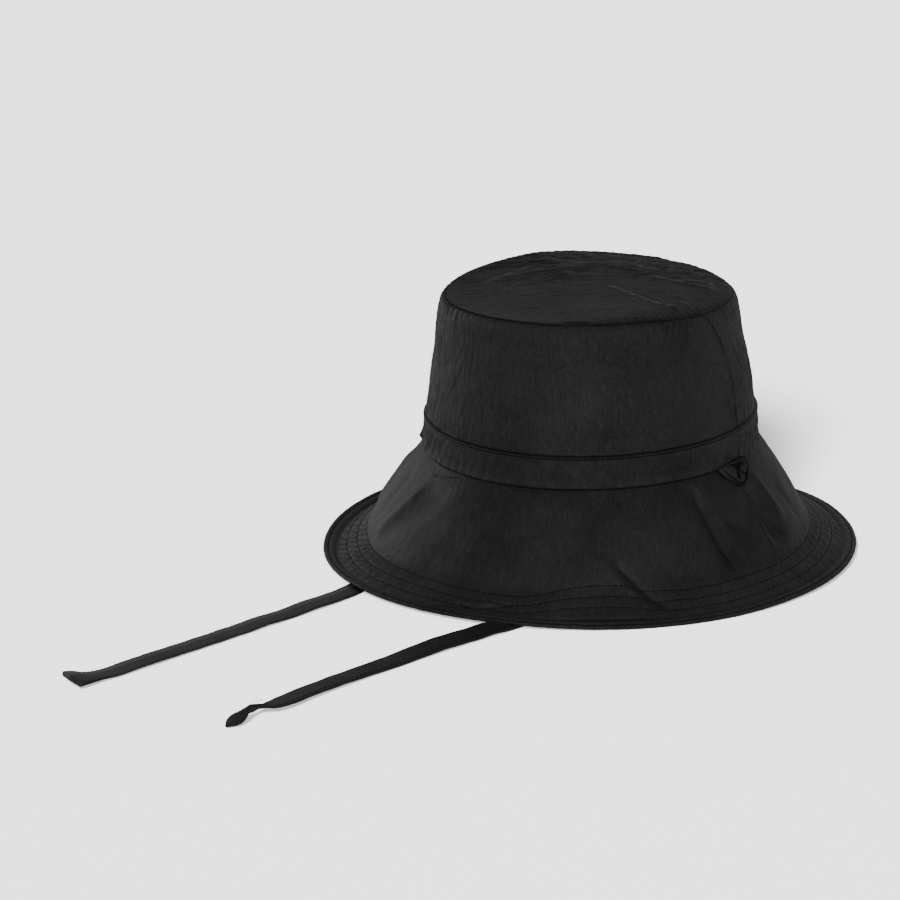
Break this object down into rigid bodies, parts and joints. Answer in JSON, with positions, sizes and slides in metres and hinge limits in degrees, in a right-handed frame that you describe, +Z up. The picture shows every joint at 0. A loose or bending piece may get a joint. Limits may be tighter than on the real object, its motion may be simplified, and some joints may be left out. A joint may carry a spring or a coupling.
{
  "type": "bucket hat",
  "caption": "Soft bucket hat with an oval flat top, a banded crown, a flared stitched brim, side loops and long flat fabric ties",
  "frame": {"origin": "bottom centre of the bounding box of the hat with its ties laid out, on the plane the brim rests on", "axes": "+Z up, -Y towards the front of the hat and along the laid-out ties, +X to the wearer's left"},
  "size_m": [0.2952, 0.5242, 0.1519],
  "materials": {
    "shell_fabric": "crinkled woven nylon, soft satin",
    "brim_fabric": "smooth woven nylon, satin",
    "interlining": "bonded nonwoven, matt",
    "lining_fabric": "plain woven lining, matt",
    "sweatband_tape": "ribbed tape, matt",
    "tie_fabric": "smooth woven nylon, satin"
  },
  "bodies": {
    "hat": {"crown_tip": "shell_fabric", "crown_front_panel": "shell_fabric", "crown_back_panel": "shell_fabric", "band_front": "shell_fabric", "band_back": "shell_fabric", "brim_top_front": "brim_fabric", "brim_top_back": "brim_fabric", "brim_interlining_front": "interlining", "brim_interlining_back": "interlining", "brim_under_front": "brim_fabric", "brim_under_back": "brim_fabric", "lining_front": "lining_fabric", "lining_back": "lining_fabric", "lining_tip": "lining_fabric", "sweatband": "sweatband_tape"},
    "side_loop_left": {"side_loop_left": "brim_fabric"},
    "side_loop_right": {"side_loop_right": "brim_fabric"},
    "tie_left_1": {"tie_left_1": "tie_fabric"},
    "tie_left_2": {"tie_left_2": "tie_fabric"},
    "tie_left_3": {"tie_left_3": "tie_fabric"},
    "tie_left_4": {"tie_left_4": "tie_fabric"},
    "tie_right_1": {"tie_right_1": "tie_fabric"},
    "tie_right_2": {"tie_right_2": "tie_fabric"},
    "tie_right_3": {"tie_right_3": "tie_fabric"},
    "tie_right_4": {"tie_right_4": "tie_fabric"}
  },
  "joints": [
    {"name": "side_loop_left_lift", "type": "hinge", "parent": "hat", "child": "side_loop_left", "pos_m": [0.0904, 0.09939, 0.06118], "axis": [0, -1, 0], "range_deg": [0, 70]},
    {"name": "side_loop_right_lift", "type": "hinge", "parent": "hat", "child": "side_loop_right", "pos_m": [-0.0904, 0.09939, 0.06118], "axis": [0, 1, 0], "range_deg": [0, 70]},
    {"name": "tie_left_swing", "type": "hinge", "parent": "hat", "child": "tie_left_1", "pos_m": [0.0838, 0.1064, 0.034], "axis": [0, 0, 1], "range_deg": [-6, 13]},
    {"name": "tie_left_lift", "type": "hinge", "parent": "tie_left_1", "child": "tie_left_2", "pos_m": [0.0257, -0.05442, 0.0012], "axis": [-0.9453, 0.3261, 0], "range_deg": [0, 48]},
    {"name": "tie_left_curl_1", "type": "hinge", "parent": "tie_left_2", "child": "tie_left_3", "pos_m": [0.00378, -0.12194, 0.0012], "axis": [-0.9675, 0.2527, 0], "range_deg": [0, 48]},
    {"name": "tie_left_curl_2", "type": "hinge", "parent": "tie_left_3", "child": "tie_left_4", "pos_m": [-0.01035, -0.1915, 0.0012], "axis": [-0.9856, 0.169, 0], "range_deg": [0, 48]},
    {"name": "tie_right_swing", "type": "hinge", "parent": "hat", "child": "tie_right_1", "pos_m": [-0.0838, 0.1064, 0.034], "axis": [0, 0, 1], "range_deg": [-13, 6]},
    {"name": "tie_right_lift", "type": "hinge", "parent": "tie_right_1", "child": "tie_right_2", "pos_m": [-0.07555, -0.04283, 0.0012], "axis": [-0.9766, 0.2149, 0], "range_deg": [0, 48]},
    {"name": "tie_right_curl_1", "type": "hinge", "parent": "tie_right_2", "child": "tie_right_3", "pos_m": [-0.09083, -0.10961, 0.0012], "axis": [-0.9729, 0.2312, 0], "range_deg": [0, 48]},
    {"name": "tie_right_curl_2", "type": "hinge", "parent": "tie_right_3", "child": "tie_right_4", "pos_m": [-0.1072, -0.17612, 0.0012], "axis": [-0.9692, 0.2462, 0], "range_deg": [0, 48]}
  ],
  "couplings": [
    {"joint": "tie_left_curl_1", "follows": "tie_left_lift", "ratio": 1},
    {"joint": "tie_left_curl_2", "follows": "tie_left_lift", "ratio": 1},
    {"joint": "tie_right_curl_1", "follows": "tie_right_lift", "ratio": 1},
    {"joint": "tie_right_curl_2", "follows": "tie_right_lift", "ratio": 1}
  ]
}
